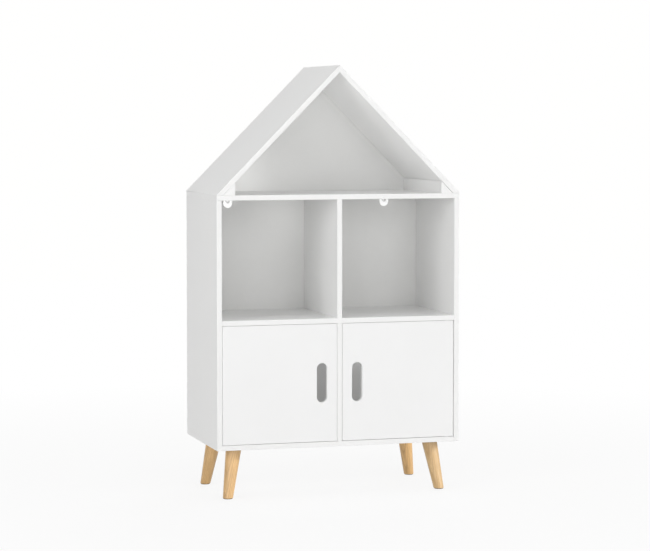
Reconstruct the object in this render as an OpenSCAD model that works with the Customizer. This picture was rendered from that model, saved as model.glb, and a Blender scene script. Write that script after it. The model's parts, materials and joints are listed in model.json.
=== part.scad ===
// House-shaped children's bookcase: two rows of two compartments on four splayed legs, with an
// open attic under a pitched roof. The lower row is closed by two doors that turn on pins.
// Millimetres, +Z up, front towards -Y. The origin is on the floor under the middle of the case.

/* [Case] */
// Overall width, over the side panels
width = 600; // [560:5:700]
// Overall depth, over the side panels
depth = 310; // [300:5:380]
// Thickness of every painted board
board_t = 12; // [12:0.5:15]
// Clear height of each of the two rows
row_h = 282; // [250:1:340]

/* [Roof] */
// Slope of both roof panels, in degrees
roof_pitch = 45.3; // [40:0.1:50]
// Height of the small upright face at the foot of each roof panel
eave_lip = 2; // [1:0.5:4]
// Width of an eave block where it stands on the attic floor
eave_block_w = 30; // [26:1:40]
// Gap between the left eave block and the roof panel above it
eave_gap_left = 0.2; // [0.1:0.1:1]
// Gap between the right eave block and the roof panel above it
eave_gap_right = 0.8; // [0.1:0.1:1]

/* [Back] */
// Thickness of the two back sheets
back_t = 3; // [2.5:0.5:5]
// Distance from the rear edges of the side panels to the back sheets
back_inset = 20; // [12:1:30]
// Depth of the grooves that hold the back sheets
groove_d = 5; // [3:0.5:6]

/* [Doors] */
// Gap between a side panel and a door's hinge edge
hinge_gap = 0.8; // [0.8:0.1:3]
// Gap between the lower divider and a door's free edge
free_gap = 0.8; // [0.8:0.1:2]
// Gap above a door
door_gap_top = 0.8; // [0.8:0.1:2]
// Gap below a door
door_gap_foot = 1; // [0.8:0.1:2]
// How far the doors' faces lie behind the front edges of the case
door_setback = 0.5; // [0:0.1:2]
// Distance from a door's hinge edge to the middle of its pins
pin_inset = 16; // [14:0.5:20]
// Radius of the front corner at a door's hinge edge, which lets it swing clear of the side panel
hinge_round = 2.5; // [2:0.5:4]
// Width of a finger slot
slot_w = 26; // [20:1:32]
// Height of a finger slot, over its round ends
slot_h = 94; // [70:1:130]
// Distance from a door's free edge to the middle of its slot
slot_inset = 36.8; // [30:0.1:60]

/* [Legs] */
// Height of the case above the floor
leg_h = 120; // [100:1:150]
// Diameter of a leg at its top
leg_top_d = 37.5; // [34:0.5:40]
// Diameter of a leg at the floor
leg_foot_d = 24; // [23:0.5:26]
// Distance from a side face of the case to the middle of a leg's top
leg_inset_x = 55; // [55:1:70]
// Distance from the front or rear edge of the case to the middle of a leg's top
leg_inset_y = 60; // [58:1:65]
// Outward lean of a leg, across the case
splay_x = 19.5; // [10:0.5:25]
// Outward lean of a leg, towards the front or rear
splay_y = 19; // [10:0.5:25]

/* [Wall brackets] */
// Distance from the middle of the case to the middle of a bracket
bracket_x = 202; // [100:1:220]
// Width of a bracket
bracket_w = 23; // [20:1:28]
// How far a bracket hangs below the attic floor
bracket_drop = 29; // [28:0.5:36]
// Diameter of the hole for the wall screw
wall_hole_d = 5.5; // [4:0.5:6]

/* [Hidden] */
$fn = 48;
fit = 0.05; // radial room round pins, dowels and screws
end_room = 0.5; // room beyond the end of a dowel, bolt or screw in its blind hole
cut = 1; // how far a cutting tool runs past the face that it opens
play = 0.15; // room on each side of a back sheet in its groove

// Heights
case_z = leg_h;
bottom_top = case_z + board_t;
shelf_z = bottom_top + row_h;
shelf_top = shelf_z + board_t;
floor_z = shelf_top + row_h;
floor_top = floor_z + board_t;

// Plan
half_w = width / 2;
inner_x = half_w - board_t;
front_y = -depth / 2;
rear_y = depth / 2;
back_y = rear_y - back_inset - back_t;
mid_y = (front_y + back_y) / 2;
half_t = board_t / 2;

// Roof: the outer faces run from the top of the eave lips to the ridge
slope = tan(roof_pitch);
ridge_z = floor_top + eave_lip + half_w * slope;
roof_drop = board_t / cos(roof_pitch);
ridge_inner_z = ridge_z - roof_drop;
roof_foot_x = (ridge_inner_z - floor_top) / slope;
groove_drop = groove_d / cos(roof_pitch);
block_x = roof_foot_x - eave_block_w;

// Doors and their pins
door_z = bottom_top + door_gap_foot;
door_h = row_h - door_gap_foot - door_gap_top;
door_x0 = half_t + free_gap;
door_x1 = inner_x - hinge_gap;
door_y = front_y + door_setback;
door_back_y = door_y + board_t;
slot_x = door_x0 + slot_inset;
slot_z = bottom_top + row_h / 2;
pin_x = door_x1 - pin_inset;
pin_y = door_y + half_t;
pin_r = 2.5;
pin_in_door = 18;
pin_out = 7.5;
bush_r = 4.5;
bush_d = 8;
bush_flange_r = 5.8;
bush_flange_t = 0.5;

// Magnetic catches, under the middle shelf beside the lower divider
catch_x = 34;
catch_w = 24;
catch_d = 14;
catch_h = 12;
catch_base_w = 42;
catch_base_t = 3;
catch_screw_dx = 16.5;
strike_w = 24;
strike_h = 12;
strike_t = 1;
catch_gap = 0.3;
catch_y = door_back_y + strike_t + catch_gap;
magnet_w = 18;
magnet_d = 10;
magnet_h = 6;
magnet_drop = 5.5;
magnet_z = shelf_z - catch_base_t - magnet_drop;
strike_z = magnet_z - strike_h / 2;

// Legs
leg_x = half_w - leg_inset_x;
leg_y = depth / 2 - leg_inset_y;
leg_len = norm([splay_x, splay_y, leg_h]);
leg_lean = acos(leg_h / leg_len);
leg_taper = (leg_top_d - leg_foot_d) / 2 / leg_len;
leg_spare = 10;
glide_t = 1.5;
glide_r = 11;
plate_t = 3;
plate_w = 56;
plate_screw_d = 20;
leg_bush_r = 6.5;
leg_bush_h = 8;
leg_recess_r = 10;
leg_recess_d = 9;
leg_bolt_r = 4;
leg_bolt_in = 32;

// Joinery
side_dowel_r = 4;
side_dowel_in = 8;
side_dowel_l = 25;
side_dowel_dy = 112;
cam_r = 6;
cam_d = half_t + 3.5;
cam_dx = 24;
cam_dy = 32;
cam_bolt_r = 2.2;
cam_head_r = 2.9;
cam_head_l = 2;
cam_bolt_in = 8.5;
cam_cover_r = 7.5;
cam_cover_t = 1;
joint_dowel_r = 3;
joint_dowel_in = 12;
joint_dowel_dy = 90;
attic_dowel_up = 8;
ridge_dowel_r = 2;
ridge_dowel_l = 16;
ridge_dowel_up = 4;
roof_dowel_r = 2.4;
roof_dowel_up = 7;
roof_dowel_l = 15;
roof_dowel_in = 4.6;
roof_dowel_x = roof_foot_x + roof_dowel_in;
roof_dowel_dy = 90;
deck_screw_y = [front_y + 35, -60, 60, back_y - 12];
block_screw_dy = 100;
back_screw_x = leg_x - 45;

// Countersunk screws, each [length, shank radius, head radius]
divider_screw = [35, 2, 4];
deck_screw = [38, 2, 4];
block_screw = [board_t + eave_block_w / 2 - 5, 1.75, 3.5];
short_screw = [11, 1.75, 3.5];
strike_screw = [9, 1.5, 2.8];

// Pan-head screws, each [length, shank radius, head radius, head height]
back_screw = [16, 1.5, 3, 1.5];
catch_screw = [11, 1.5, 3, 1.5];

// Wall brackets
bracket_t = 3;
bracket_d = 30;
bracket_hole_drop = 12;
bracket_hole_z = floor_z - bracket_hole_drop;
bracket_recess_r = 6;
bracket_recess_d = 1;
bracket_screw_y = [9, 21];

WHITE = [0.94, 0.94, 0.93];
BACK_WHITE = [0.90, 0.90, 0.89];
TIMBER = [0.87, 0.70, 0.50];
DOWEL = [0.80, 0.66, 0.46];
STEEL = [0.66, 0.67, 0.69];
PLASTIC = [0.98, 0.98, 0.97];
MAGNET = [0.25, 0.25, 0.27];
FELT = [0.78, 0.76, 0.72];

// ---- Shared shapes -------------------------------------------------------------------------

// A box given by its lowest and highest corners
module span(low, high) {
    translate(low) cube(high - low);
}

// An outline in X and Z, made solid from y0 to y1
module upright(points, y0, y1) {
    translate([0, y1, 0]) rotate([90, 0, 0]) linear_extrude(y1 - y0) polygon(points);
}

// A round bar along +X from its start
module bar_x(start, r, l) {
    translate(start) rotate([0, 90, 0]) cylinder(h = l, r = r);
}

// A round bar along +Y from its start
module bar_y(start, r, l) {
    translate(start) rotate([-90, 0, 0]) cylinder(h = l, r = r);
}

// A round bar along +Z from its start
module bar_z(start, r, l) {
    translate(start) cylinder(h = l, r = r);
}

// The same piece on the left
module on_left() {
    mirror([1, 0, 0]) children();
}

// The same piece on both sides
module on_both() {
    children();
    on_left() children();
}

// A countersunk wood screw that points along +Z, with its head's face at z = 0.
// As a hole it has room round it and past its tip.
module screw(size, hole = false) {
    l = size[0];
    r = size[1];
    head_r = size[2];
    room = hole ? fit : 0;
    spare = hole ? end_room : 0;
    head_h = head_r - r;
    cylinder(h = l + spare, r = r + room);
    cylinder(h = head_h, r1 = head_r + room, r2 = r + room);
    if (hole) translate([0, 0, -cut]) cylinder(h = cut, r = head_r + room);
}

// A pan-head screw that points along +Z, with the underside of its head at z = 0
module pan_screw(size, hole = false) {
    l = size[0];
    r = size[1];
    head_r = size[2];
    head_h = size[3];
    room = hole ? fit : 0;
    spare = hole ? end_room : 0;
    cylinder(h = l + spare, r = r + room);
    if (!hole) translate([0, 0, -head_h]) cylinder(h = head_h, r = head_r);
}

// ---- Joinery: each set is used as the pieces and, grown by fit, as their holes --------------

module side_dowel_set(z, hole = false) {
    room = hole ? fit : 0;
    spare = hole ? end_room : 0;
    x = inner_x + side_dowel_in + spare;
    for (dy = [-side_dowel_dy, 0, side_dowel_dy])
        translate([x, mid_y + dy, z]) rotate([0, -90, 0])
            cylinder(h = side_dowel_l + 2 * spare, r = side_dowel_r + room);
}

module cam_bolt_set(z, hole = false) {
    room = hole ? fit : 0;
    spare = hole ? end_room : 0;
    for (dy = [-cam_dy, cam_dy])
        translate([inner_x - cam_dx, mid_y + dy, z]) rotate([0, 90, 0]) {
            cylinder(h = cam_dx + cam_bolt_in + spare, r = cam_bolt_r + room);
            if (!hole) translate([0, 0, -cam_head_l]) cylinder(h = cam_head_l, r = cam_head_r);
        }
}

// The pocket of a cam in the underside of a horizontal board
module cam_pocket_set(z) {
    for (dy = [-cam_dy, cam_dy])
        bar_z([inner_x - cam_dx, mid_y + dy, z - cut], cam_r + fit, cam_d + fit + cut);
}

module side_joint_holes(z) {
    side_dowel_set(z + half_t, true);
    cam_bolt_set(z + half_t, true);
}

// Dowels through the middle shelf, into both dividers
module shelf_joint_dowels(hole = false) {
    room = hole ? fit : 0;
    spare = hole ? end_room : 0;
    for (dy = [-joint_dowel_dy, joint_dowel_dy])
        bar_z([0, mid_y + dy, shelf_z - joint_dowel_in - spare], joint_dowel_r + room,
            board_t + 2 * (joint_dowel_in + spare));
}

// Dowels from the upper divider into the attic floor
module attic_joint_dowels(hole = false) {
    room = hole ? fit : 0;
    spare = hole ? end_room : 0;
    for (dy = [-joint_dowel_dy, joint_dowel_dy])
        bar_z([0, mid_y + dy, floor_z - joint_dowel_in - spare], joint_dowel_r + room,
            joint_dowel_in + attic_dowel_up + 2 * spare);
}

module divider_screw_set(hole = false) {
    for (dy = [-joint_dowel_dy, joint_dowel_dy])
        translate([0, mid_y + dy, case_z]) screw(divider_screw, hole);
}

// Screws down through the attic floor into a side panel, under the foot of the roof
module deck_screw_set(hole = false) {
    for (y = deck_screw_y)
        translate([half_w - half_t, y, floor_top]) rotate([180, 0, 0]) screw(deck_screw, hole);
}

// Screws up through the attic floor into an eave block
module block_screw_set(hole = false) {
    for (dy = [-block_screw_dy, 0, block_screw_dy])
        translate([block_x + eave_block_w / 2, mid_y + dy, floor_z]) screw(block_screw, hole);
}

module roof_foot_dowel_set(hole = false) {
    room = hole ? fit : 0;
    spare = hole ? end_room : 0;
    for (dy = [-roof_dowel_dy, 0, roof_dowel_dy])
        bar_z([roof_dowel_x, mid_y + dy, floor_top - roof_dowel_l + roof_dowel_up - spare],
            roof_dowel_r + room, roof_dowel_l + 2 * spare);
}

module ridge_dowel_set(hole = false) {
    room = hole ? fit : 0;
    spare = hole ? end_room : 0;
    l = ridge_dowel_l + 2 * spare;
    for (dy = [-roof_dowel_dy, 0, roof_dowel_dy])
        bar_x([-l / 2, mid_y + dy, ridge_inner_z + ridge_dowel_up], ridge_dowel_r + room, l);
}

// Screws through the back sheet into the rear edges of the bottom panel and the middle shelf
module back_screw_set(z, hole = false) {
    for (x = [-back_screw_x, 0, back_screw_x])
        translate([x, back_y + back_t, z]) rotate([90, 0, 0]) pan_screw(back_screw, hole);
}

// ---- Boards --------------------------------------------------------------------------------

module side_panel_right() {
    color(WHITE) difference() {
        span([inner_x, front_y, case_z], [half_w, rear_y, floor_z]);
        span([inner_x - cut, back_y - play, case_z - cut],
            [inner_x + groove_d, back_y + back_t + play, floor_z + cut]);
        side_joint_holes(case_z);
        side_joint_holes(shelf_z);
        deck_screw_set(true);
    }
}

module side_panel_left() {
    on_left() side_panel_right();
}

module bottom_panel() {
    color(WHITE) difference() {
        span([-inner_x, front_y, case_z], [inner_x, back_y, bottom_top]);
        on_both() {
            side_joint_holes(case_z);
            cam_pocket_set(case_z);
            bar_z([pin_x, pin_y, bottom_top - bush_d - fit], bush_r + fit, bush_d + cut);
        }
        for (side = [-1, 1], end = [-1, 1]) {
            bar_z([side * leg_x, end * leg_y, case_z - cut], leg_recess_r, leg_recess_d + cut);
            plate_screw_set(side, end, true);
        }
        divider_screw_set(true);
        back_screw_set(case_z + half_t, true);
    }
}

module middle_shelf() {
    color(WHITE) difference() {
        span([-inner_x, front_y, shelf_z], [inner_x, back_y, shelf_top]);
        on_both() {
            side_joint_holes(shelf_z);
            cam_pocket_set(shelf_z);
            bar_z([pin_x, pin_y, shelf_z - cut], bush_r + fit, bush_d + fit + cut);
            catch_screw_set(true);
        }
        shelf_joint_dowels(true);
        back_screw_set(shelf_z + half_t, true);
    }
}

module attic_floor() {
    color(WHITE) difference() {
        span([-half_w, front_y, floor_z], [half_w, rear_y, floor_top]);
        span([-inner_x - groove_d, back_y - play, floor_z - cut],
            [inner_x + groove_d, back_y + back_t + play, floor_z + groove_d]);
        on_both() {
            deck_screw_set(true);
            block_screw_set(true);
            roof_foot_dowel_set(true);
            bracket_screw_set(true);
        }
        attic_joint_dowels(true);
    }
}

module lower_divider() {
    color(WHITE) difference() {
        span([-half_t, front_y, bottom_top], [half_t, back_y, shelf_z]);
        divider_screw_set(true);
        shelf_joint_dowels(true);
    }
}

module upper_divider() {
    color(WHITE) difference() {
        span([-half_t, front_y, shelf_top], [half_t, back_y, floor_z]);
        shelf_joint_dowels(true);
        attic_joint_dowels(true);
    }
}

// A roof panel: mitred at the ridge, cut level at its foot, grooved for the gable's back sheet
module roof_panel_right() {
    color(WHITE) difference() {
        upright([
            [0, ridge_inner_z], [0, ridge_z], [half_w, floor_top + eave_lip],
            [half_w, floor_top], [roof_foot_x, floor_top]
        ], front_y, rear_y);
        upright([
            [-cut, ridge_inner_z - cut], [-cut, ridge_inner_z + groove_drop + cut * slope],
            [roof_foot_x + (groove_drop + cut) / slope, floor_top - cut],
            [roof_foot_x - cut, floor_top - cut]
        ], back_y - play, back_y + back_t + play);
        roof_foot_dowel_set(true);
        ridge_dowel_set(true);
    }
}

module roof_panel_left() {
    on_left() roof_panel_right();
}

// A long triangular block in the corner between the roof and the attic floor
module eave_block(gap) {
    rise = eave_block_w * slope - gap / cos(roof_pitch);
    color(WHITE) difference() {
        upright([[block_x, floor_top], [block_x, floor_top + rise],
            [block_x + rise / slope, floor_top]], front_y, back_y);
        block_screw_set(true);
    }
}

module eave_block_right() {
    eave_block(eave_gap_right);
}

module eave_block_left() {
    on_left() eave_block(eave_gap_left);
}

module back_panel() {
    x = inner_x + groove_d - play;
    color(BACK_WHITE) difference() {
        span([-x, back_y, case_z], [x, back_y + back_t, floor_z + groove_d - play]);
        back_screw_set(case_z + half_t, true);
        back_screw_set(shelf_z + half_t, true);
        on_both() bar_y([bracket_x, back_y - cut, bracket_hole_z], wall_hole_d / 2, back_t + 2 * cut);
    }
}

module gable_back() {
    top = ridge_inner_z + groove_drop - play / cos(roof_pitch);
    x = (top - floor_top) / slope;
    color(BACK_WHITE)
        upright([[-x, floor_top], [x, floor_top], [0, top]], back_y, back_y + back_t);
}

// ---- Doors ---------------------------------------------------------------------------------

module door_right() {
    color(WHITE) difference() {
        span([door_x0, door_y, door_z], [door_x1, door_back_y, door_z + door_h]);
        end_dz = (slot_h - slot_w) / 2;
        span([slot_x - slot_w / 2, door_y - cut, slot_z - end_dz],
            [slot_x + slot_w / 2, door_back_y + cut, slot_z + end_dz]);
        for (dz = [-end_dz, end_dz])
            bar_y([slot_x, door_y - cut, slot_z + dz], slot_w / 2, board_t + 2 * cut);
        hinge_corner();
        hinge_pin_set(true);
        strike_screw_set(true);
    }
}

module door_left() {
    on_left() door_right();
}

// What is cut from the front corner at a door's hinge edge to round it
module hinge_corner() {
    x = door_x1 - hinge_round;
    y = door_y + hinge_round;
    difference() {
        span([x, door_y - cut, door_z - cut], [door_x1 + cut, y, door_z + door_h + cut]);
        bar_z([x, y, door_z - 2 * cut], hinge_round, door_h + 4 * cut);
    }
}

// One pin in the bottom edge of a door and one in its top edge
module hinge_pin_set(hole = false) {
    room = hole ? fit : 0;
    spare = hole ? end_room : 0;
    bar_z([pin_x, pin_y, bottom_top - pin_out], pin_r + room, pin_out + door_gap_foot + pin_in_door + spare);
    bar_z([pin_x, pin_y, shelf_z - door_gap_top - pin_in_door - spare], pin_r + room,
        pin_out + door_gap_top + pin_in_door + spare);
}

module hinge_pins_right() {
    color(STEEL) hinge_pin_set();
}

module hinge_pins_left() {
    on_left() hinge_pins_right();
}

// A flanged bush, bored right through, with its flange's outer face at z = 0
module hinge_bush() {
    difference() {
        union() {
            bar_z([0, 0, -bush_flange_t], bush_flange_r, bush_flange_t);
            bar_z([0, 0, -bush_flange_t - bush_d], bush_r, bush_d + bush_flange_t);
        }
        bar_z([0, 0, -bush_flange_t - bush_d - cut], pin_r + fit, bush_d + bush_flange_t + 2 * cut);
    }
}

module hinge_bushes_right() {
    color(PLASTIC) {
        translate([pin_x, pin_y, bottom_top + bush_flange_t]) hinge_bush();
        translate([pin_x, pin_y, shelf_z - bush_flange_t]) mirror([0, 0, 1]) hinge_bush();
    }
}

module hinge_bushes_left() {
    on_left() hinge_bushes_right();
}

module catch_screw_set(hole = false) {
    for (dx = [-catch_screw_dx, catch_screw_dx])
        translate([catch_x + dx, catch_y + catch_d / 2, shelf_z - catch_base_t])
            pan_screw(catch_screw, hole);
}

module catch_magnet(hole = false) {
    room = hole ? fit : 0;
    mouth = hole ? cut : 0;
    span([catch_x - magnet_w / 2 - room, catch_y - mouth, magnet_z - magnet_h / 2 - room],
        [catch_x + magnet_w / 2 + room, catch_y + magnet_d + room, magnet_z + magnet_h / 2 + room]);
}

module catch_housing_right() {
    color(PLASTIC) difference() {
        union() {
            span([catch_x - catch_w / 2, catch_y, shelf_z - catch_h],
                [catch_x + catch_w / 2, catch_y + catch_d, shelf_z]);
            span([catch_x - catch_base_w / 2, catch_y, shelf_z - catch_base_t],
                [catch_x + catch_base_w / 2, catch_y + catch_d, shelf_z]);
        }
        catch_magnet(true);
        catch_screw_set(true);
    }
}

module catch_housing_left() {
    on_left() catch_housing_right();
}

module catch_magnets() {
    color(MAGNET) on_both() catch_magnet();
}

module catch_screws() {
    color(STEEL) on_both() catch_screw_set();
}

module strike_screw_set(hole = false) {
    translate([catch_x, door_back_y + strike_t, magnet_z]) rotate([90, 0, 0]) screw(strike_screw, hole);
}

module strike_plate_right() {
    color(STEEL) difference() {
        span([catch_x - strike_w / 2, door_back_y, strike_z],
            [catch_x + strike_w / 2, door_back_y + strike_t, strike_z + strike_h]);
        strike_screw_set(true);
    }
}

module strike_plate_left() {
    on_left() strike_plate_right();
}

module strike_screw_right() {
    color(STEEL) strike_screw_set();
}

module strike_screw_left() {
    on_left() strike_screw_right();
}

// ---- Legs: side is -1 on the left and 1 on the right, end is -1 at the front and 1 at the rear ----

// Puts its children's z axis on a leg's centre line, starting at the floor, an eighth of a turn round
module along_leg(side, end) {
    translate([side * (leg_x + splay_x), end * (leg_y + splay_y), 0])
        rotate([0, leg_lean, atan2(-end * splay_y, -side * splay_x)]) rotate([0, 0, 45]) children();
}

// The height range that a leg's slanted pieces are cut to
module level_cut(side, end, z0, z1) {
    reach = leg_top_d;
    x = side * (leg_x + splay_x / 2);
    y = end * (leg_y + splay_y / 2);
    intersection() {
        span([x - reach, y - reach, z0], [x + reach, y + reach, z1]);
        children();
    }
}

module leg_bolt(side, end) {
    along_leg(side, end) translate([0, 0, leg_len - leg_bolt_in])
        cylinder(h = leg_bolt_in + leg_bush_h, r = leg_bolt_r);
}

// The bore for a leg's bolt, on the leg's centre line, open at its upper end
module leg_bore() {
    translate([0, 0, leg_len - leg_bolt_in - end_room])
        cylinder(h = leg_bolt_in + end_room + leg_spare, r = leg_bolt_r + fit);
}

// A tapered round leg on a slanted centre line, cut level at its top and foot
module leg(side, end) {
    color(TIMBER) difference() {
        level_cut(side, end, glide_t, case_z - plate_t)
            along_leg(side, end)
                translate([0, 0, -leg_spare])
                    cylinder(h = leg_len + 2 * leg_spare, r1 = leg_foot_d / 2 - leg_spare * leg_taper,
                        r2 = leg_top_d / 2 + leg_spare * leg_taper);
        along_leg(side, end) leg_bore();
    }
}

module leg_front_left() {
    leg(-1, -1);
}

module leg_front_right() {
    leg(1, -1);
}

module leg_rear_left() {
    leg(-1, 1);
}

module leg_rear_right() {
    leg(1, 1);
}

module plate_screw_set(side, end, hole = false) {
    for (dx = [-plate_screw_d, plate_screw_d], dy = [-plate_screw_d, plate_screw_d])
        translate([side * leg_x + dx, end * leg_y + dy, case_z - plate_t]) screw(short_screw, hole);
}

// A square steel plate with a slanted threaded bush that stands up into the bottom panel
module leg_plate(side, end) {
    color(STEEL) difference() {
        union() {
            span([side * leg_x - plate_w / 2, end * leg_y - plate_w / 2, case_z - plate_t],
                [side * leg_x + plate_w / 2, end * leg_y + plate_w / 2, case_z]);
            level_cut(side, end, case_z - plate_t, case_z + leg_bush_h)
                along_leg(side, end) translate([0, 0, leg_len - leg_spare])
                    cylinder(h = 2 * leg_spare, r = leg_bush_r);
        }
        along_leg(side, end) leg_bore();
        plate_screw_set(side, end, true);
    }
}

module leg_plate_front_left() {
    leg_plate(-1, -1);
}

module leg_plate_front_right() {
    leg_plate(1, -1);
}

module leg_plate_rear_left() {
    leg_plate(-1, 1);
}

module leg_plate_rear_right() {
    leg_plate(1, 1);
}

module leg_bolts() {
    color(STEEL) for (side = [-1, 1], end = [-1, 1]) leg_bolt(side, end);
}

module leg_plate_screws() {
    color(STEEL) for (side = [-1, 1], end = [-1, 1]) plate_screw_set(side, end);
}

module foot_glides() {
    color(FELT) for (side = [-1, 1], end = [-1, 1])
        bar_z([side * (leg_x + splay_x), end * (leg_y + splay_y), 0], glide_r, glide_t);
}

// ---- Wall brackets -------------------------------------------------------------------------

module bracket_screw_set(hole = false) {
    for (dy = bracket_screw_y)
        translate([bracket_x, back_y - dy, floor_z - bracket_t]) screw(short_screw, hole);
}

// An angle: one leg under the attic floor, the other against the back with a round lower end
module wall_bracket_right() {
    tab_z = floor_z - bracket_drop + bracket_w / 2;
    color(PLASTIC) difference() {
        union() {
            span([bracket_x - bracket_w / 2, back_y - bracket_d, floor_z - bracket_t],
                [bracket_x + bracket_w / 2, back_y, floor_z]);
            span([bracket_x - bracket_w / 2, back_y - bracket_t, tab_z],
                [bracket_x + bracket_w / 2, back_y, floor_z]);
            bar_y([bracket_x, back_y - bracket_t, tab_z], bracket_w / 2, bracket_t);
        }
        bar_y([bracket_x, back_y - bracket_t - cut, bracket_hole_z], wall_hole_d / 2, bracket_t + 2 * cut);
        bar_y([bracket_x, back_y - bracket_t - cut, bracket_hole_z], bracket_recess_r,
            cut + bracket_recess_d);
        bracket_screw_set(true);
    }
}

module wall_bracket_left() {
    on_left() wall_bracket_right();
}

module wall_bracket_screws() {
    color(STEEL) on_both() bracket_screw_set();
}

// ---- Fasteners -----------------------------------------------------------------------------

// Each cam is a disc with a pocket for its bolt's head and a slot for the shank
module cam_set(z) {
    for (dy = [-cam_dy, cam_dy]) {
        x = inner_x - cam_dx;
        y = mid_y + dy;
        difference() {
            bar_z([x, y, z], cam_r, cam_d);
            span([x - cam_head_l - fit, y - cam_head_r - fit, z + half_t - cam_head_r - fit],
                [x + fit, y + cam_head_r + fit, z + cam_d + cut]);
            span([x, y - cam_bolt_r - fit, z + half_t - cam_bolt_r - fit],
                [x + cam_r + cut, y + cam_bolt_r + fit, z + cam_d + cut]);
        }
    }
}

module cam_locks() {
    color(STEEL) on_both() {
        cam_set(case_z);
        cam_set(shelf_z);
    }
}

module cam_bolts() {
    color(STEEL) on_both() {
        cam_bolt_set(case_z + half_t);
        cam_bolt_set(shelf_z + half_t);
    }
}

module cam_covers() {
    color(PLASTIC) on_both() for (z = [case_z, shelf_z], dy = [-cam_dy, cam_dy])
        bar_z([inner_x - cam_dx, mid_y + dy, z - cam_cover_t], cam_cover_r, cam_cover_t);
}

module side_dowels() {
    color(DOWEL) on_both() {
        side_dowel_set(case_z + half_t);
        side_dowel_set(shelf_z + half_t);
    }
}

module divider_dowels() {
    color(DOWEL) {
        shelf_joint_dowels();
        attic_joint_dowels();
    }
}

module divider_screws() {
    color(STEEL) divider_screw_set();
}

module deck_screws() {
    color(STEEL) on_both() deck_screw_set();
}

module eave_block_screws() {
    color(STEEL) on_both() block_screw_set();
}

module roof_foot_dowels() {
    color(DOWEL) on_both() roof_foot_dowel_set();
}

module ridge_dowels() {
    color(DOWEL) ridge_dowel_set();
}

module back_panel_screws() {
    color(STEEL) {
        back_screw_set(case_z + half_t);
        back_screw_set(shelf_z + half_t);
    }
}

side_panel_left();
side_panel_right();
bottom_panel();
middle_shelf();
attic_floor();
lower_divider();
upper_divider();
roof_panel_left();
roof_panel_right();
eave_block_left();
eave_block_right();
back_panel();
gable_back();
door_left();
door_right();
hinge_pins_left();
hinge_pins_right();
hinge_bushes_left();
hinge_bushes_right();
catch_housing_left();
catch_housing_right();
catch_magnets();
catch_screws();
strike_plate_left();
strike_plate_right();
strike_screw_left();
strike_screw_right();
leg_front_left();
leg_front_right();
leg_rear_left();
leg_rear_right();
leg_plate_front_left();
leg_plate_front_right();
leg_plate_rear_left();
leg_plate_rear_right();
leg_bolts();
leg_plate_screws();
foot_glides();
wall_bracket_left();
wall_bracket_right();
wall_bracket_screws();
cam_locks();
cam_bolts();
cam_covers();
side_dowels();
divider_dowels();
divider_screws();
deck_screws();
eave_block_screws();
roof_foot_dowels();
ridge_dowels();
back_panel_screws();
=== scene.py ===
import json
import math

import bmesh
import bpy
from mathutils import Matrix, Vector

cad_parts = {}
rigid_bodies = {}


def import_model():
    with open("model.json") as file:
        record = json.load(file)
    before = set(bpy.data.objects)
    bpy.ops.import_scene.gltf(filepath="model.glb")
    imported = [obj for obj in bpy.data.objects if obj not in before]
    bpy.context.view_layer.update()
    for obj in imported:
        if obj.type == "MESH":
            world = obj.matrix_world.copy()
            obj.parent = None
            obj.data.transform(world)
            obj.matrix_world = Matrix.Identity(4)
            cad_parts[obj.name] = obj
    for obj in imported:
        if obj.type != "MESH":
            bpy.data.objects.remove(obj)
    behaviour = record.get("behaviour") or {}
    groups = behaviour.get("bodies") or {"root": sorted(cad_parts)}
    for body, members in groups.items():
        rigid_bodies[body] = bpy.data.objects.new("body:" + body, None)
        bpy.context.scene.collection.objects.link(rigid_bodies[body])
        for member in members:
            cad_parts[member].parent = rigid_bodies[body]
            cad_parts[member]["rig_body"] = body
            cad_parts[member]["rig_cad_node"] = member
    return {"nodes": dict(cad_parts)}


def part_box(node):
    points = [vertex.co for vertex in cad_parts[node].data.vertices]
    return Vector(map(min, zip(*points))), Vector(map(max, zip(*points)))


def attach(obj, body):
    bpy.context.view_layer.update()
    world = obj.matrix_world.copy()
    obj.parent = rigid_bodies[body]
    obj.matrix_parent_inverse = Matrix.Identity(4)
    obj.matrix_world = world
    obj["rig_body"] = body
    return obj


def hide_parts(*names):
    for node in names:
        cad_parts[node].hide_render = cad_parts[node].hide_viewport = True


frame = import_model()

scene = bpy.context.scene
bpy.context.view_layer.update()  # the bookcase's box as it was packed
print("frame loaded,", len(frame["nodes"]), "nodes")


# camera and lamps

cameraSetup = {
    "place": (-1.5757, -5.3344, 0.9108),
    "turn": -16.55,  # degrees round Z
    "tilt": -3.399,  # degrees, minus looks down
    "sensor": 36.0,
    "lens": 126.73,
    "shiftY": -0.04,
    "clipEnd": 60.0,
}

camera = bpy.data.objects.new("camera", bpy.data.cameras.new("camera"))
scene.collection.objects.link(camera)
camera.location = cameraSetup["place"]
camera.rotation_euler = (
    math.radians(90 + cameraSetup["tilt"]), 0, math.radians(cameraSetup["turn"]))
camera.data.sensor_width = cameraSetup["sensor"]
camera.data.lens = cameraSetup["lens"]
camera.data.shift_y = cameraSetup["shiftY"]
camera.data.clip_end = cameraSetup["clipEnd"]
scene.camera = camera

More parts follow.
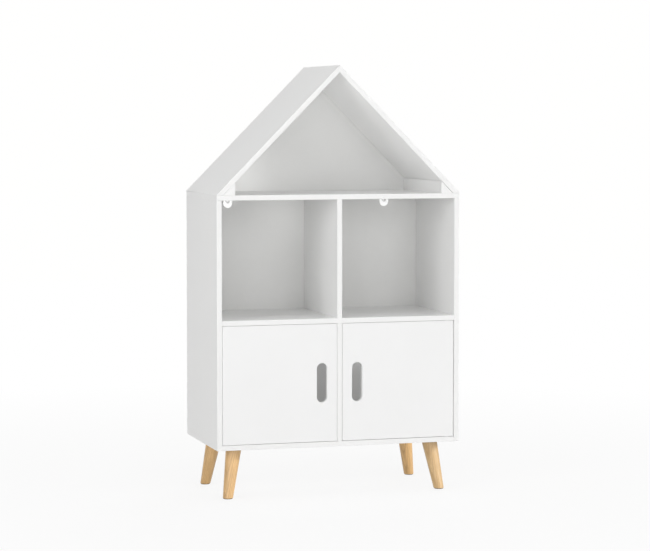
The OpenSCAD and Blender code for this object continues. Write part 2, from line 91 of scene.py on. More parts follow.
lampSetup = {
    "sky": 0.25,  # level of the light from all round, where 1 shows a colour as it is written
    "aim": (0.0, 0.0, 0.6),
    # soft boxes: degrees round from the front, degrees up, distance, width, height and level
    "boxes": {
        "leftBox": (-60, 12, 4.5, 2.0, 2.0, 0.275),
        "frontBox": (-6, 7, 4.6, 4.0, 2.4, 0.25),
        "rightBox": (46, 4, 4.5, 2.0, 1.6, 0.19),
        "topBox": (0, 80, 4.0, 2.0, 2.0, 0.26),
        "rearBox": (150, 20, 4.5, 2.4, 2.4, 0.30),
    },
    # small lamps inside: place, width, height, level, aim and the first letters of the nodes that
    # they reach, or every node where there are none
    "fills": {
        "leftCupboardFill": ((-0.16, 0.02, 0.405), 0.14, 0.14, 0.25, (-0.16, 0.02, 0.205), ""),
        "rightCupboardFill": ((0.16, 0.02, 0.405), 0.14, 0.14, 0.23, (0.16, 0.02, 0.205), ""),
        "leftRowFill": ((-0.05, 0.05, 0.67), 0.10, 0.05, 0.115, (-0.04, 0.15, 0.67), "back_panel"),
        "rightRowFill": ((0.25, 0.05, 0.67), 0.06, 0.05, 0.04, (0.255, 0.15, 0.675), "back_panel"),
        "ridgeFill": ((0.01, 0.01, 0.95), 0.05, 0.05, 0.080, (0.02, 0.13, 0.995), "gable_back"),
        "rightEaveFill": ((0.10, 0.00, 0.81), 0.10, 0.06, 0.035, (0.17, 0.13, 0.84), "gable_back"),
        "leftEaveFill": (
            (-0.16, 0.03, 0.745), 0.06, 0.04, 0.16, (-0.24, 0.13, 0.73), "gable_back"),
        "roofFill": (
            (0.04, 0.10, 0.768), 0.04, 0.36, 0.22, (0.14, 0.10, 0.866), "roof_panel_right"),
        "ridgeRoofFill": (
            (-0.03, -0.06, 0.90), 0.16, 0.05, 0.14, (0.02, -0.06, 0.985), "roof_panel_right"),
        "atticFill": ((0.05, -0.10, 0.73), 0.30, 0.05, 0.03, (0.12, 0.10, 0.88), "roof_panel"),
    },
    # soft boxes for some nodes alone: aim, the numbers of a soft box, then the nodes
    "only": {
        "legBox": ((0, -0.1, 0.06), 56, 22, 4.5, 0.6, 0.4, 0.54, ("leg_front", "leg_rear")),
        "undersideBox": ((0, 0, 0.06), -32, 2, 4.5, 0.6, 0.2, 0.08, ("leg_front", "leg_rear")),
        "bracketBox": ((0, 0.13, 0.69), -10, -1, 3.0, 0.5, 0.5, 0.50,
            ("wall_bracket_left", "wall_bracket_right")),
    },
}


def areaLamp(name, place, width, height, level, target):
    # level is the share of full light that a surface at the target gets, facing the lamp
    data = bpy.data.lights.new(name, "AREA")
    data.shape = "RECTANGLE"
    data.size = width
    data.size_y = height
    lamp = bpy.data.objects.new(name, data)
    lamp.location = place
    way = Vector(target) - lamp.location
    data.energy = level * math.pi ** 2 * way.length_squared
    lamp.rotation_euler = way.to_track_quat("-Z", "Y").to_euler()
    lamp.visible_camera = False
    scene.collection.objects.link(lamp)
    return lamp


def softBox(name, aim, azimuth, elevation, distance, width, height, level):
    turn, rise = math.radians(azimuth), math.radians(elevation)
    flat = math.cos(rise)
    way = Vector((math.sin(turn) * flat, -math.cos(turn) * flat, math.sin(rise)))
    return areaLamp(name, Vector(aim) + way * distance, width, height, level, aim)


for name, numbers in lampSetup["boxes"].items():
    box = softBox(name, lampSetup["aim"], *numbers)
    box.visible_glossy = name != "rearBox"  # it would only glare on the roof

reached = {}  # collections that lamps are linked to, with the first letters of their nodes


def reachOnly(lamp, nodes):
    lit = bpy.data.collections.new(lamp.name + "Pieces")
    lamp.light_linking.receiver_collection = lit
    reached[lit] = nodes


for name, (*numbers, nodes) in lampSetup["only"].items():
    reachOnly(softBox(name, *numbers), nodes)

for name, (*numbers, nodes) in lampSetup["fills"].items():
    fill = areaLamp(name, *numbers)
    fill.visible_glossy = False
    if nodes:
        reachOnly(fill, nodes)

scene.view_settings.view_transform = "Standard"


# small helpers for node trees

def wire(tree, start, end):
    # start is a socket, or the value that the end holds
    if isinstance(start, bpy.types.NodeSocket):
        tree.links.new(start, end)
    else:
        end.default_value = start


def addNode(tree, kind, feeds=None, **settings):
    # feeds has what to wire to the inputs, by their labels or numbers
    node = tree.nodes.new(kind)
    for key, value in settings.items():
        setattr(node, key, value)
    for label, value in (feeds or {}).items():
        wire(tree, value, node.inputs[label])
    return node


def mathNode(tree, operation, first, second=0.0):
    return addNode(tree, "ShaderNodeMath", {0: first, 1: second}, operation=operation).outputs[0]


def weighed(tree, first, firstShare, second, secondShare):
    # the sum of two values, each times its share
    return mathNode(tree, "ADD", mathNode(tree, "MULTIPLY", first, firstShare),
        mathNode(tree, "MULTIPLY", second, secondShare))


def combined(tree, x, y, z):
    return addNode(tree, "ShaderNodeCombineXYZ", {0: x, 1: y, 2: z}).outputs[0]


def parted(tree, vector):
    return addNode(tree, "ShaderNodeSeparateXYZ", {0: vector}).outputs


def noiseNode(tree, vector, scale, detail=2.0, roughness=0.5):
    return addNode(tree, "ShaderNodeTexNoise", {"Vector": vector, "Scale": scale, "Detail": detail,
        "Roughness": roughness}, noise_dimensions="3D").outputs["Fac"]


def stretchedNoise(tree, vector, across, along, detail=2.0, roughness=0.5):
    # a noise with one scale across a timber's length and another along it
    node = addNode(tree, "ShaderNodeVectorMath", {0: vector, 1: (across, across, along)},
        operation="MULTIPLY")
    return noiseNode(tree, node.outputs[0], 1.0, detail, roughness)


def rangeNode(tree, value, low, high, newLow=0.0, newHigh=1.0):
    return addNode(tree, "ShaderNodeMapRange", {"Value": value, "From Min": low, "From Max": high,
        "To Min": newLow, "To Max": newHigh}).outputs["Result"]


def mixColours(tree, factor, first, second):
    first, second = [(*one, 1.0) if isinstance(one, tuple) else one for one in (first, second)]
    return addNode(tree, "ShaderNodeMix", {"Factor": factor, 6: first, 7: second},
        data_type="RGBA").outputs[2]


def newGroup(name, inputs, outputs, kind="Shader", outputKind="Float"):
    # inputs are (label, kind, value); gives the group and the sockets to take from and to feed
    group = bpy.data.node_groups.new(name, kind + "NodeTree")
    for label, inputKind, value in inputs:
        socket = group.interface.new_socket(
            name=label, in_out="INPUT", socket_type="NodeSocket" + inputKind)
        if value is not None:
            socket.default_value = value
    for label in outputs:
        group.interface.new_socket(
            name=label, in_out="OUTPUT", socket_type="NodeSocket" + outputKind)
    take = group.nodes.new("NodeGroupInput").outputs
    return group, take, group.nodes.new("NodeGroupOutput").inputs


# shared effects, each a group of nodes

def makePaintSkin():
    # sprayed paint: faint clouds in the tone, fine orange peel in the surface
    group, take, give = newGroup("paintSkin", [
        ("Vector", "Vector", None), ("Cloud Scale", "Float", 7.0),
        ("Peel Scale", "Float", 520.0), ("Dust Scale", "Float", 2600.0)],
        ["Tone", "Gloss", "Height"])
    cloud = noiseNode(group, take["Vector"], take["Cloud Scale"], 3.0, 0.55)
    peel = noiseNode(group, take["Vector"], take["Peel Scale"], 1.5, 0.4)
    dust = noiseNode(group, take["Vector"], take["Dust Scale"], 1.0, 0.5)
    nib = rangeNode(group, dust, 0.70, 0.86)  # the odd speck of dust under the paint
    wire(group, rangeNode(group, cloud, 0.28, 0.72), give["Tone"])
    wire(group, weighed(group, cloud, 0.6, peel, 0.4), give["Gloss"])
    wire(group, weighed(group, peel, 1.0, nib, 0.5), give["Height"])
    return group


def makeEdgeWear():
    # rubbed arrises: the piece's own edge attribute, broken up by noise
    group, take, give = newGroup("edgeWear", [
        ("Vector", "Vector", None), ("Edge", "Float", 0.0),
        ("Break Scale", "Float", 60.0), ("Amount", "Float", 0.5)], ["Mask"])
    broken = noiseNode(group, take["Vector"], take["Break Scale"], 4.0, 0.65)
    mask = mathNode(group, "MULTIPLY", take["Edge"], rangeNode(group, broken, 0.42, 0.66))
    wire(group, mathNode(group, "MULTIPLY", mask, take["Amount"]), give["Mask"])
    return group


def makeTimberGrain():
    # growth rings round a pith beside the piece, and fine fibres along its length (Z)
    group, take, give = newGroup("timberGrain", [
        ("Vector", "Vector", None), ("Ring Gap", "Float", 0.0026), ("Pith X", "Float", 0.045),
        ("Pith Y", "Float", 0.03), ("Waver", "Float", 0.004)],
        ["Ring", "Fibre", "Fleck", "Streak", "Height"])
    vector = take["Vector"]
    place = parted(group, vector)
    waver = stretchedNoise(group, vector, 28.0, 5.0)
    shiftX = mathNode(group, "SUBTRACT", place["X"], take["Pith X"])
    shiftY = mathNode(group, "SUBTRACT", place["Y"], take["Pith Y"])
    radius = mathNode(group, "SQRT", weighed(group, shiftX, shiftX, shiftY, shiftY))
    bent = weighed(group, radius, 1.0, waver, take["Waver"])
    turns = mathNode(group, "FRACT", mathNode(group, "DIVIDE", bent, take["Ring Gap"]))
    # early wood darkens slowly, late wood ends sharply
    rise = mathNode(group, "POWER", turns, 2.4)
    ring = mathNode(group, "MULTIPLY", rise, rangeNode(group, turns, 0.86, 1.0, 1.0, 0.0))
    fibre = stretchedNoise(group, vector, 1500.0, 55.0, 3.0, 0.6)
    fleck = stretchedNoise(group, vector, 620.0, 130.0, 1.0, 0.4)
    streak = stretchedNoise(group, vector, 240.0, 6.0, 2.0, 0.6)
    wire(group, ring, give["Ring"])
    wire(group, fibre, give["Fibre"])
    wire(group, rangeNode(group, fleck, 0.62, 0.74), give["Fleck"])
    wire(group, rangeNode(group, streak, 0.42, 0.64), give["Streak"])
    wire(group, weighed(group, fibre, 0.7, ring, -0.3), give["Height"])
    return group


def makeZincSkin():
    # plated steel: crystal patches and fine rolling marks
    group, take, give = newGroup("zincSkin", [
        ("Vector", "Vector", None), ("Crystal Scale", "Float", 420.0),
        ("Mark Scale", "Float", 1800.0)], ["Tone", "Gloss", "Height"])
    crystals = addNode(group, "ShaderNodeTexVoronoi",
        {"Vector": take["Vector"], "Scale": take["Crystal Scale"]}, feature="F1")
    patch = addNode(group, "ShaderNodeSeparateColor", {0: crystals.outputs["Color"]}).outputs
    marks = noiseNode(group, take["Vector"], take["Mark Scale"], 2.0, 0.6)
    wire(group, patch[0], give["Tone"])
    wire(group, weighed(group, patch[1], 0.5, marks, 0.5), give["Gloss"])
    wire(group, marks, give["Height"])
    return group


paintSkin = makePaintSkin()
edgeWear = makeEdgeWear()
timberGrain = makeTimberGrain()
zincSkin = makeZincSkin()


# finishes

def newFinish(name):
    # gives the material, its tree and the sockets of its shader
    material = bpy.data.materials.new(name)
    material.use_nodes = True
    tree = material.node_tree
    return material, tree, tree.nodes["Principled BSDF"].inputs


def objectPlace(tree):
    return addNode(tree, "ShaderNodeTexCoord").outputs["Object"]


def pieceAttribute(tree, name):
    return addNode(
        tree, "ShaderNodeAttribute", attribute_type="GEOMETRY", attribute_name=name).outputs


def groupNode(tree, group, vector, **values):
    feeds = {label.replace("_", " "): value for label, value in values.items()}
    return addNode(tree, "ShaderNodeGroup", {"Vector": vector, **feeds}, node_tree=group).outputs


def bumpInto(tree, shader, height, strength, distance):
    bump = addNode(
        tree, "ShaderNodeBump", {"Strength": strength, "Distance": distance, "Height": height})
    wire(tree, bump.outputs["Normal"], shader["Normal"])


def edgeMask(tree, vector, amount, scale):
    edge = pieceAttribute(tree, "edge")["Fac"]
    return groupNode(tree, edgeWear, vector, Amount=amount, Break_Scale=scale, Edge=edge)["Mask"]


def paintedBoard(name, light, dark, worn, rough, peel, cloud=7.0, bump=0.10, wear=0.5):
    material, tree, shader = newFinish(name)
    vector = objectPlace(tree)
    skin = groupNode(tree, paintSkin, vector, Cloud_Scale=cloud, Peel_Scale=peel)
    mask = edgeMask(tree, vector, wear, 70.0)
    base = mixColours(tree, skin["Tone"], dark, light)
    wire(tree, mixColours(tree, mask, base, worn), shader["Base Color"])
    gloss = rangeNode(tree, skin["Gloss"], 0.3, 0.7, rough - 0.05, rough + 0.06)
    wire(tree, weighed(tree, gloss, 1.0, mask, 0.15), shader["Roughness"])
    shader["Specular IOR Level"].default_value = 0.4
    bumpInto(tree, shader, skin["Height"], bump, 0.0004)
    return material


def varnishedTimber(name, pale, deep, late, ruddy, rough, attribute=None, sheen=0.35):
    # the grain follows the attribute, or the object; a piece's own tone attribute holds how ruddy
    # its timber is and how pale it is made, partly the timber's own tone and partly painted light
    # on a leg that stands in more light
    material, tree, shader = newFinish(name)
    vector = pieceAttribute(tree, attribute)["Vector"] if attribute else objectPlace(tree)
    grain = groupNode(tree, timberGrain, vector)
    cloud = rangeNode(tree, stretchedNoise(tree, vector, 30.0, 9.0), 0.3, 0.7)
    tone = parted(tree, pieceAttribute(tree, "tone")["Vector"])
    # the tone's second share pales the timber: painted light on a leg that stands in more light
    paledAndLit = mixColours(tree, tone["Y"], mixColours(tree, cloud, pale, deep), pale)
    toned = mixColours(tree, tone["X"], paledAndLit, ruddy)
    for share, colour in (
            (mathNode(tree, "MULTIPLY", grain["Streak"], 0.5), deep),
            (mathNode(tree, "MULTIPLY", grain["Ring"], 0.62), late),
            (rangeNode(tree, grain["Fibre"], 0.40, 0.72, 0.0, 0.42), late),
            (mathNode(tree, "MULTIPLY", grain["Fleck"], 0.25), deep)):
        toned = mixColours(tree, share, toned, colour)
    wire(tree, toned, shader["Base Color"])
    gloss = rangeNode(tree, grain["Fibre"], 0.3, 0.7, rough - 0.07, rough + 0.08)
    wire(tree, gloss, shader["Roughness"])
    shader["Specular IOR Level"].default_value = sheen
    bumpInto(tree, shader, grain["Height"], 0.22, 0.0004)
    return material


def platedSteel(name, light, dark, rough, crystal):
    material, tree, shader = newFinish(name)
    vector = objectPlace(tree)
    skin = groupNode(tree, zincSkin, vector, Crystal_Scale=crystal)
    mask = edgeMask(tree, vector, 0.6, 400.0)
    base = mixColours(tree, skin["Tone"], dark, light)
    wire(tree, mixColours(tree, mask, base, (0.80, 0.80, 0.80)), shader["Base Color"])
    shader["Metallic"].default_value = 1.0
    gloss = rangeNode(tree, skin["Gloss"], 0.2, 0.8, rough - 0.08, rough + 0.10)
    wire(tree, gloss, shader["Roughness"])
    bumpInto(tree, shader, skin["Height"], 0.12, 0.0002)
    return material


def mouldedPlastic(name, light, dark, rough):
    material, tree, shader = newFinish(name)
    vector = objectPlace(tree)
    skin = groupNode(
        tree, paintSkin, vector, Cloud_Scale=55.0, Peel_Scale=1900.0, Dust_Scale=5200.0)
    mask = edgeMask(tree, vector, 0.35, 300.0)
    base = mixColours(tree, skin["Tone"], dark, light)
    wire(tree, mixColours(tree, mask, base, light), shader["Base Color"])
    gloss = rangeNode(tree, skin["Gloss"], 0.3, 0.7, rough - 0.05, rough + 0.07)
    wire(tree, gloss, shader["Roughness"])
    bumpInto(tree, shader, skin["Height"], 0.10, 0.0001)
    return material


def shadedSeatPlastic(name, light, dark, seat, rough, matt):
    # moulded plastic; an attribute of the piece marks the screw head's recess, which gets painted
    # shade in a grey colour and a matt surface
    material, tree, shader = newFinish(name)
    vector = objectPlace(tree)
    skin = groupNode(
        tree, paintSkin, vector, Cloud_Scale=70.0, Peel_Scale=1500.0, Dust_Scale=5200.0)
    # the seat colour mixed in here is painted shade, the shadow in the recess for the wall screw's
    # head
    seatShadeMask = pieceAttribute(tree, "seat")["Fac"]
    base = mixColours(tree, skin["Tone"], dark, light)
    wire(tree, mixColours(tree, seatShadeMask, base, seat), shader["Base Color"])
    gloss = rangeNode(tree, skin["Gloss"], 0.3, 0.7, rough - 0.03, rough + 0.04)
    wire(tree, weighed(tree, gloss, 1.0, seatShadeMask, matt), shader["Roughness"])
    bumpInto(tree, shader, skin["Height"], 0.05, 0.0001)
    return material


def pressedGrit(name, light, dark, rough, scale, bump):
    # felt and sintered magnet: a dense speckle with a soft surface
    material, tree, shader = newFinish(name)
    vector = objectPlace(tree)
    speckle = noiseNode(tree, vector, scale, 4.0, 0.7)
    patch = noiseNode(tree, vector, scale * 0.12, 2.0)
    mixed = weighed(tree, speckle, 0.7, patch, 0.3)
    share = rangeNode(tree, mixed, 0.35, 0.65)
    wire(tree, mixColours(tree, share, dark, light), shader["Base Color"])
    wire(tree, rangeNode(tree, mixed, 0.3, 0.7, rough - 0.08, rough + 0.05), shader["Roughness"])
    bumpInto(tree, shader, speckle, bump, 0.0005)
    return material


whitePaint = paintedBoard("whitePaint", light=(0.92, 0.92, 0.915), dark=(0.905, 0.905, 0.90),
    worn=(0.95, 0.95, 0.945), rough=0.42, peel=520.0)
doorPaint = paintedBoard("doorPaint", light=(0.92, 0.92, 0.92), dark=(0.907, 0.907, 0.906),
    worn=(0.95, 0.95, 0.945), rough=0.38, peel=480.0)
backPaint = paintedBoard("backPaint", light=(0.85, 0.85, 0.84), dark=(0.825, 0.825, 0.815),
    worn=(0.77, 0.76, 0.74), rough=0.58, peel=340.0, cloud=11.0, bump=0.22, wear=0.6)
# the gable back's paint is the back sheet's paint made lighter: painted light for the brighter
# attic
gablePaint = paintedBoard("gablePaint", light=(0.885, 0.885, 0.875), dark=(0.865, 0.865, 0.855),
    worn=(0.81, 0.80, 0.78), rough=0.58, peel=340.0, cloud=11.0, bump=0.22, wear=0.6)
legVarnish = varnishedTimber("legVarnish", pale=(0.76, 0.54, 0.28), deep=(0.51, 0.325, 0.135),
    late=(0.32, 0.175, 0.06), ruddy=(0.84, 0.48, 0.17), rough=0.40, attribute="grain", sheen=0.8)
rawDowel = varnishedTimber("rawDowel", pale=(0.74, 0.55, 0.33), deep=(0.64, 0.45, 0.25),
    late=(0.48, 0.31, 0.15), ruddy=(0.74, 0.50, 0.30), rough=0.68)
zincPlate = platedSteel("zincPlate", light=(0.70, 0.71, 0.73), dark=(0.52, 0.53, 0.56),
    rough=0.34, crystal=420.0)
screwZinc = platedSteel("screwZinc", light=(0.74, 0.74, 0.76), dark=(0.58, 0.59, 0.62),
    rough=0.28, crystal=1500.0)
whitePlastic = mouldedPlastic("whitePlastic", light=(0.97, 0.97, 0.97), dark=(0.95, 0.95, 0.945),
    rough=0.20)
# the bracket's seat colour is painted shade: a grey for the shadow in the screw head's recess
bracketPlastic = shadedSeatPlastic("bracketPlastic", light=(0.97, 0.97, 0.97),
    dark=(0.955, 0.955, 0.95), seat=(0.66, 0.66, 0.65), rough=0.24, matt=0.5)
darkMagnet = pressedGrit("darkMagnet", light=(0.085, 0.085, 0.09), dark=(0.045, 0.045, 0.05),
    rough=0.62, scale=3500.0, bump=0.25)
glideFelt = pressedGrit("glideFelt", light=(0.24, 0.19, 0.14), dark=(0.13, 0.10, 0.07),
    rough=0.92, scale=2200.0, bump=0.6)
print("finishes ready")


# floor and backdrop: white to the eye, a pale floor to everything else

floorSetup = {
    "size": 14.0, "tint": (0.95, 0.95, 0.945), "cloud": (0.96, 0.96, 0.955), "cloudScale": 3.0,
    "rough": 0.9, "shine": 0.1,
    "near": 0.5, "nearGlow": 0.86, "far": 2.2, "farGlow": 1.0,  # the glow grows with the distance
}

floorMesh = bpy.data.meshes.new("floor")
half = floorSetup["size"] / 2
floorMesh.from_pydata(
    [(-half, -half, 0), (half, -half, 0), (half, half, 0), (-half, half, 0)], [], [(0, 1, 2, 3)])
floor = bpy.data.objects.new("floor", floorMesh)
scene.collection.objects.link(floor)
floor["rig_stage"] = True


def seenShare(tree):
    # 1 where the camera or a gloss looks, and 0 for the light that falls on the bookcase
    rays = addNode(tree, "ShaderNodeLightPath").outputs
    return mathNode(tree, "MAXIMUM", rays["Is Camera Ray"], rays["Is Glossy Ray"])


floorPaint, floorTree, floorShader = newFinish("floorPaint")
floorShader["Roughness"].default_value = floorSetup["rough"]
floorShader["Specular IOR Level"].default_value = floorSetup["shine"]
floorNoise = noiseNode(floorTree, objectPlace(floorTree), floorSetup["cloudScale"])
wire(floorTree, mixColours(floorTree, floorNoise, floorSetup["tint"], floorSetup["cloud"]),
    floorShader["Base Color"])
away = addNode(
    floorTree, "ShaderNodeVectorMath", {0: objectPlace(floorTree)}, operation="LENGTH")
glowShare = rangeNode(floorTree, away.outputs["Value"], floorSetup["near"], floorSetup["far"],
    floorSetup["nearGlow"], floorSetup["farGlow"])
blend = addNode(floorTree, "ShaderNodeMixShader", {
    0: mathNode(floorTree, "MULTIPLY", seenShare(floorTree), glowShare),
    1: floorTree.nodes["Principled BSDF"].outputs[0],
    2: addNode(floorTree, "ShaderNodeEmission").outputs[0]})
wire(floorTree, blend.outputs[0], floorTree.nodes["Material Output"].inputs["Surface"])
floorMesh.materials.append(floorPaint)

world = bpy.data.worlds.new("studio")
scene.world = world
world.use_nodes = True
skyTree = world.node_tree
sky = skyTree.nodes["Background"].inputs
sky["Color"].default_value = (1.0, 1.0, 0.995, 1.0)
skyLevel = rangeNode(skyTree, seenShare(skyTree), 0.0, 1.0, lampSetup["sky"], 1.0)
wire(skyTree, skyLevel, sky["Strength"])
print("floor and light ready")


# pieces made from the CAD boards, with their arrises rounded

boardSetup = {
    "arris": 0.0008, "sheetArris": 0.0003, "doorArris": 0.0009,
    "merge": 1e-6,  # corners nearer than this are one
    "touch": 1e-5,  # a corner nearer to a face than this lies on it
    "flat": math.radians(0.5),  # faces that turn by less than this are one
    "sharp": math.radians(30),  # edges that turn by more than this are rounded
}


def linked(name, mesh):
    piece = bpy.data.objects.new(name, mesh)
    scene.collection.objects.link(piece)
    return piece


def camelCase(node):
    first, *rest = node.split("_")
    return first + "".join(word.capitalize() for word in rest)


def mergedCopy(node):
    # a copy of the node's loose triangles, joined at their corners
    bm = bmesh.new()
    bm.from_mesh(frame["nodes"][node].data)
    bmesh.ops.remove_doubles(bm, verts=bm.verts, dist=boardSetup["merge"])
    return bm


def softened(node, rounding, segments=2, shortest=0.003, skip=None, also=None):
    # rounds the edges over the shortest length; skip and also pick edges to leave out or to add
    bm = mergedCopy(node)
    bmesh.ops.dissolve_limit(bm, angle_limit=boardSetup["flat"], use_dissolve_boundaries=False,
        verts=bm.verts, edges=bm.edges)
    picked = []
    for edge in bm.edges:
        if len(edge.link_faces) != 2 or not edge.is_convex:
            continue
        if edge.calc_face_angle(0) < boardSetup["sharp"] or (skip and skip(edge)):
            continue
        if edge.calc_length() >= shortest or (also and also(edge)):
            picked.append(edge)
    layer = bm.faces.layers.float.new("edge")
    rounded = bmesh.ops.bevel(bm, geom=picked, offset=rounding, segments=segments, profile=0.5,
        affect="EDGES", clamp_overlap=True, loop_slide=True)
    for face in rounded["faces"]:
        face[layer] = 1.0
        face.smooth = True
    low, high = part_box(node)
    for vert in bm.verts:  # no corner of the rounding stands proud of the board
        vert.co = Vector(min(max(c, least), most) for c, least, most in zip(vert.co, low, high))
    mesh = bpy.data.meshes.new(camelCase(node))
    bm.to_mesh(mesh)
    bm.free()
    return linked(camelCase(node), mesh)


def finished(piece, body, slot, material, *nodes):
    piece.data.materials.clear()
    piece.data.materials.append(material)
    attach(piece, body)
    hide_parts(*nodes)
    for lit, starts in reached.items():
        if nodes[0].startswith(starts):
            lit.objects.link(piece)


def onMitre(edge):
    return all(abs(vert.co.x) < boardSetup["touch"] for vert in edge.verts)


for node in ("side_panel_left", "side_panel_right", "bottom_panel", "middle_shelf", "attic_floor",
        "lower_divider", "upper_divider", "eave_block_left", "eave_block_right",
        "roof_panel_left", "roof_panel_right"):
    board = softened(node, boardSetup["arris"], skip=onMitre if node.startswith("roof") else None)
    finished(board, "case", "board_white", whitePaint, node)

# the gable back takes the lighter copy of the back sheet's paint, which is painted light
for node, paint in (("back_panel", backPaint), ("gable_back", gablePaint)):
    finished(softened(node, boardSetup["sheetArris"]), "case", "back_sheet", paint, node)
print("boards ready")


# doors, with the rims of their finger slots rounded

slotSetup = {"fromMiddle": 0.0436, "halfWidth": 0.014, "halfHeight": 0.05}  # where a rim may lie


def slotRim(node):
    low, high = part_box(node)
    middle = (low.z + high.z) / 2

    def test(edge):
        corners = [vert.co for vert in edge.verts]
        onFace = any(all(abs(co.y - face) < boardSetup["touch"] for co in corners)
            for face in (low.y, high.y))
        near = all(abs(co.z - middle) < slotSetup["halfHeight"] for co in corners)
        return onFace and near and all(
            abs(abs(co.x) - slotSetup["fromMiddle"]) < slotSetup["halfWidth"] for co in corners)
    return test


for side in ("left", "right"):
    node = "door_" + side
    door = softened(node, boardSetup["doorArris"], segments=3, shortest=0.03, also=slotRim(node))
    finished(door, side + "_door", "door_white", doorPaint, node)
print("doors ready")


# plates, brackets and catches

smallArrises = {  # rounding, and the shortest edge that has it
    "leg_plate": (0.0006, 0.02),
    "wall_bracket": (0.0005, 0.0),
    "catch_housing": (0.0005, 0.004),
    "strike_plate": (0.00025, 0.004),
}


def smallPiece(kind, place):
    rounding, shortest = smallArrises[kind]
    return softened(kind + "_" + place, rounding, shortest=shortest)


for place in ("front_left", "front_right", "rear_left", "rear_right"):
    finished(smallPiece("leg_plate", place), "case", "zinc_steel", zincPlate, "leg_plate_" + place)

bracketSetup = {
    "seatRadius": 0.0061, "seatDepth": 0.0008, "holeDrop": 0.012, "thickness": 0.003,
    "rear": 0.0001,  # faces nearer to the rear than this aren't the seat
}


def markShadedSeat(piece, node):
    # marks the round recess for the wall screw's head, in the upright leg of a bracket, where
    # painted shade goes
    low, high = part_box(node)
    middleX, middleZ = (low.x + high.x) / 2, high.z - bracketSetup["holeDrop"]
    front = high.y - bracketSetup["thickness"] + bracketSetup["seatDepth"]
    rear = high.y - bracketSetup["rear"]
    seat = piece.data.attributes.new("seat", "FLOAT", "FACE")
    for face in piece.data.polygons:
        x, y, z = face.center
        near = math.hypot(x - middleX, z - middleZ) < bracketSetup["seatRadius"]
        seat.data[face.index].value = 1.0 if near and front < y < rear else 0.0


for side in ("left", "right"):
    bracket = smallPiece("wall_bracket", side)
    markShadedSeat(bracket, "wall_bracket_" + side)
    finished(bracket, "case", "white_plastic", bracketPlastic, "wall_bracket_" + side)
    catch = smallPiece("catch_housing", side)
    finished(catch, "case", "white_plastic", whitePlastic, "catch_housing_" + side)
    strike = smallPiece("strike_plate", side)
    finished(strike, side + "_door", "zinc_steel", zincPlate, "strike_plate_" + side)

for node, material in (("catch_magnets", darkMagnet), ("hinge_bushes_left", whitePlastic),
        ("hinge_bushes_right", whitePlastic), ("cam_locks", zincPlate), ("cam_bolts", screwZinc)):
    frame["nodes"][node].material_slots[0].material = material
print("plates and catches ready")


# what repeats: trees of Geometry Nodes and how they are run

repeatSetup = {
    "turn": 3.14,  # each piece of a set is turned by up to this, either way
    "sharp": math.radians(32),  # edges that turn by more than this aren't shaded smooth
}


def evaluatedMesh(piece):
    graph = bpy.context.evaluated_depsgraph_get()
    return bpy.data.meshes.new_from_object(piece.evaluated_get(graph), depsgraph=graph)


def builtBy(tree, name, mesh, values):
    # runs a tree on a mesh and leaves a plain mesh in its place
    holder = linked(name, mesh)
    modifier = holder.modifiers.new("build", "NODES")
    modifier.node_group = tree
    sockets = {item.name: item.identifier for item in tree.interface.items_tree
        if item.in_out == "INPUT"}
    for label, value in values.items():
        modifier[sockets[label]] = value
    result = evaluatedMesh(holder)
    holder.modifiers.remove(modifier)
    holder.data = result
    result.name = name
    result.set_sharp_from_angle(angle=repeatSetup["sharp"])
    return holder


def endTree(tree, geometry, finish, end):
    real = addNode(tree, "GeometryNodeRealizeInstances", {"Geometry": geometry})
    painted = addNode(tree, "GeometryNodeSetMaterial",
        {"Geometry": real.outputs["Geometry"], "Material": finish})
    wire(tree, painted.outputs["Geometry"], end)


def makeSetTree():
    # one piece on every point, along its facing and turned by chance about its own axis
    tree, take, give = newGroup("fastenerSet", [
        ("Points", "Geometry", None), ("Piece", "Object", None),
        ("Turn Spread", "Float", repeatSetup["turn"]), ("Seed", "Int", 1),
        ("Finish", "Material", None)], ["Geometry"], "Geometry", "Geometry")
    piece = addNode(tree, "GeometryNodeObjectInfo",
        {"As Instance": True, "Object": take["Piece"]}, transform_space="ORIGINAL")
    facing = addNode(
        tree, "GeometryNodeInputNamedAttribute", {"Name": "facing"}, data_type="FLOAT_VECTOR")
    align = addNode(tree, "FunctionNodeAlignRotationToVector",
        {"Vector": facing.outputs["Attribute"]}, axis="Z")
    place = addNode(tree, "GeometryNodeInstanceOnPoints", {"Points": take["Points"],
        "Instance": piece.outputs["Geometry"], "Rotation": align.outputs["Rotation"]})
    least = mathNode(tree, "MULTIPLY", take["Turn Spread"], -1.0)
    chance = addNode(tree, "FunctionNodeRandomValue",
        {2: least, 3: take["Turn Spread"], "Seed": take["Seed"]}, data_type="FLOAT")
    spin = addNode(tree, "FunctionNodeAxisAngleToRotation",
        {"Axis": (0, 0, 1), "Angle": chance.outputs[1]})
    turn = addNode(tree, "GeometryNodeRotateInstances", {"Instances": place.outputs["Instances"],
        "Rotation": spin.outputs["Rotation"], "Local Space": True})
    endTree(tree, turn.outputs["Instances"], take["Finish"], give["Geometry"])
    return tree


setTree = makeSetTree()


def piecesAt(name, places, facings, source, finish, seed):
    # a copy of the source on each place, pointing along its facing
    mesh = bpy.data.meshes.new(name)
    mesh.from_pydata(places, [], [])
    attribute = mesh.attributes.new("facing", "FLOAT_VECTOR", "POINT")
    for index, facing in enumerate(facings):
        attribute.data[index].vector = facing
    return builtBy(setTree, name, mesh,
        {"Piece": source, "Turn Spread": repeatSetup["turn"], "Seed": seed, "Finish": finish})


# turned pieces: screws, dowels, pins, covers

def shaped(name, verts, faces, smooth):
    # a piece from corners and faces, with the faces turned outwards
    mesh = bpy.data.meshes.new(name)
    mesh.from_pydata(verts, [], faces)
    bm = bmesh.new()
    bm.from_mesh(mesh)
    bmesh.ops.recalc_face_normals(bm, faces=bm.faces)
    for face in bm.faces:
        face.smooth = smooth
    bm.to_mesh(mesh)
    bm.free()
    return linked(name, mesh)


